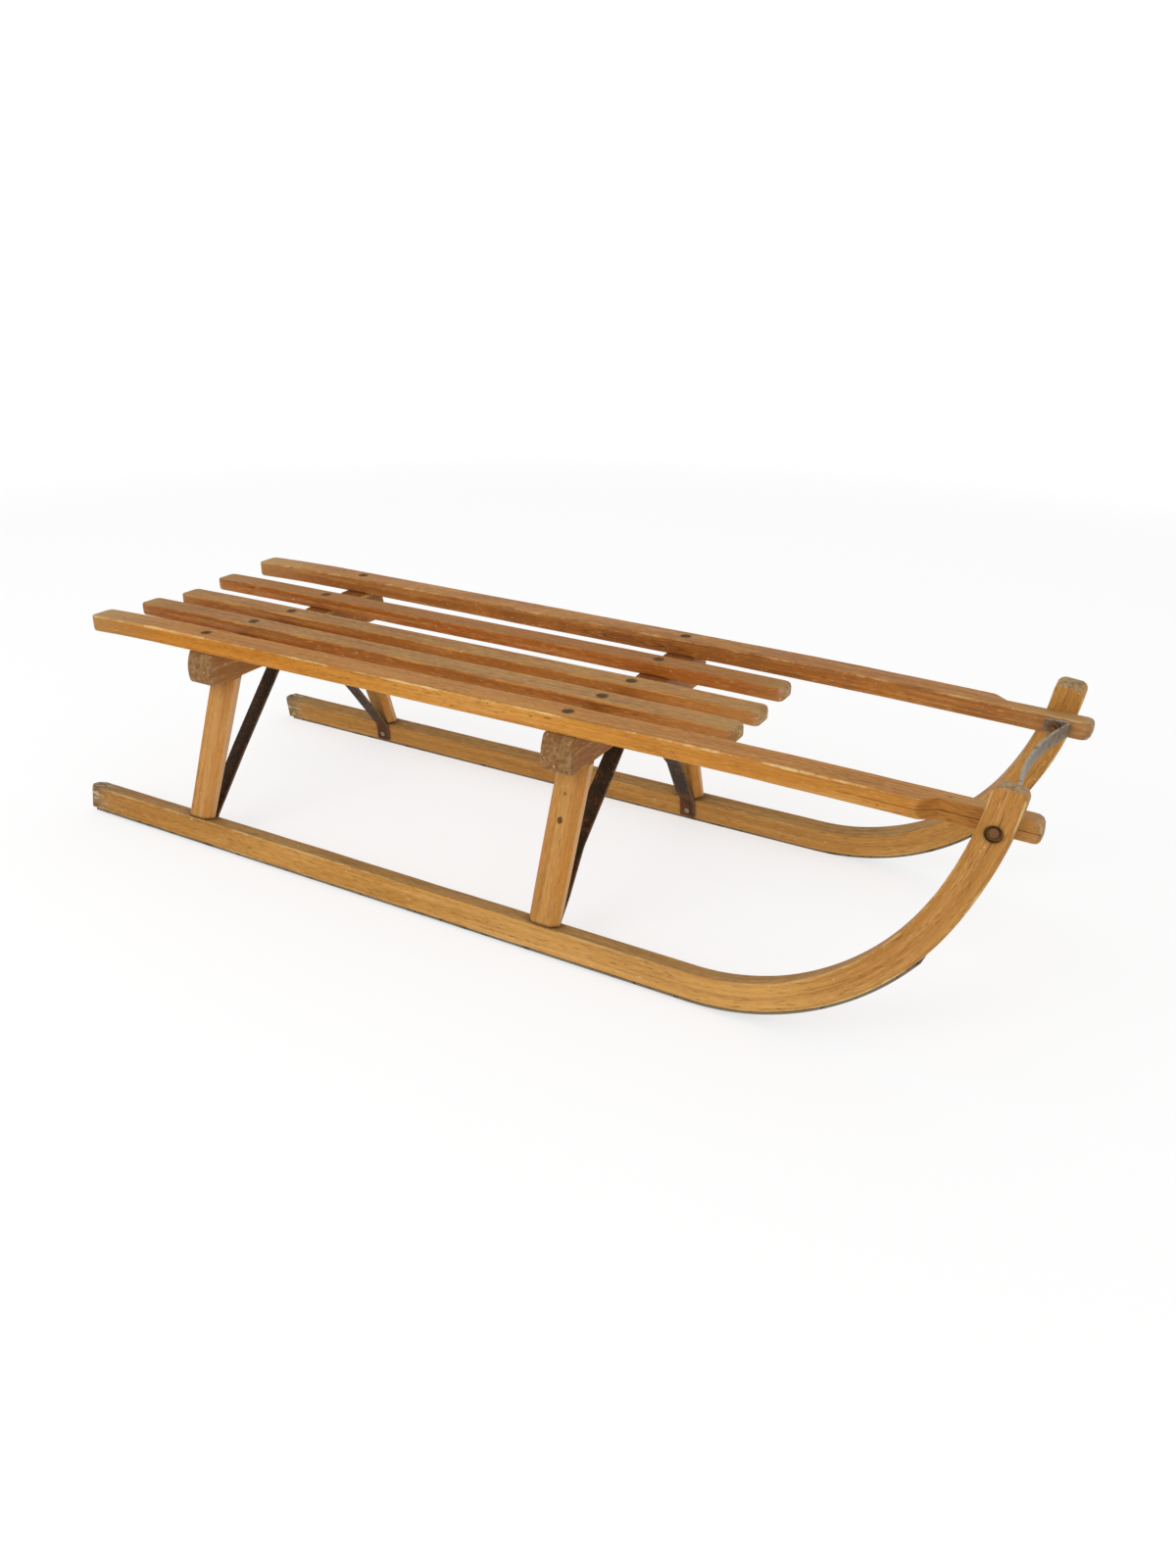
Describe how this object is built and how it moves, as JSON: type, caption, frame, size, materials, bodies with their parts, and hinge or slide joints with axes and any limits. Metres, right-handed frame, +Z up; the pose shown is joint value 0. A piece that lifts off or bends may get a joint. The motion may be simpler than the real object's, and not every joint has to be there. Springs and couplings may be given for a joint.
{
  "type": "wooden sled",
  "caption": "Slatted wooden sled on two steel-shod runners that curve up into horns at the front, with splayed legs, crosspieces, flat steel braces and a steel strap between the horns.",
  "frame": {"origin": "middle of the sled's length and width, on the ground under the runners", "axes": "+X forward to the horns, +Y to the sled's left, +Z up"},
  "size_m": [1.129, 0.3926, 0.2816],
  "materials": {
    "runner_wood": "old varnish over ash, worn",
    "leg_wood": "old varnish over ash",
    "crosspiece_wood": "greyed varnish over beech",
    "rail_wood": "clear varnish, satin, worn on top",
    "slat_wood": "clear varnish, satin, worn on top",
    "shoe_steel": "dark worn steel",
    "brace_steel": "dark steel with rust",
    "strap_steel": "greyed steel with rust",
    "fastener_steel": "rusty steel"
  },
  "bodies": {
    "root": {"runner_left": "runner_wood", "runner_right": "runner_wood", "runner_shoe_left": "shoe_steel", "runner_shoe_right": "shoe_steel", "leg_front_left": "leg_wood", "leg_front_right": "leg_wood", "leg_rear_left": "leg_wood", "leg_rear_right": "leg_wood", "crosspiece_front": "crosspiece_wood", "crosspiece_rear": "crosspiece_wood", "side_rail_left": "rail_wood", "side_rail_right": "rail_wood", "slat_left": "slat_wood", "slat_centre": "slat_wood", "slat_right": "slat_wood", "brace_front_left": "brace_steel", "brace_front_right": "brace_steel", "brace_rear_left": "brace_steel", "brace_rear_right": "brace_steel", "front_strap": "strap_steel", "horn_bolt_left": "fastener_steel", "horn_bolt_right": "fastener_steel", "horn_nut_left": "fastener_steel", "horn_nut_right": "fastener_steel", "slat_screws": "fastener_steel", "brace_screws": "fastener_steel"}
  },
  "joints": []
}
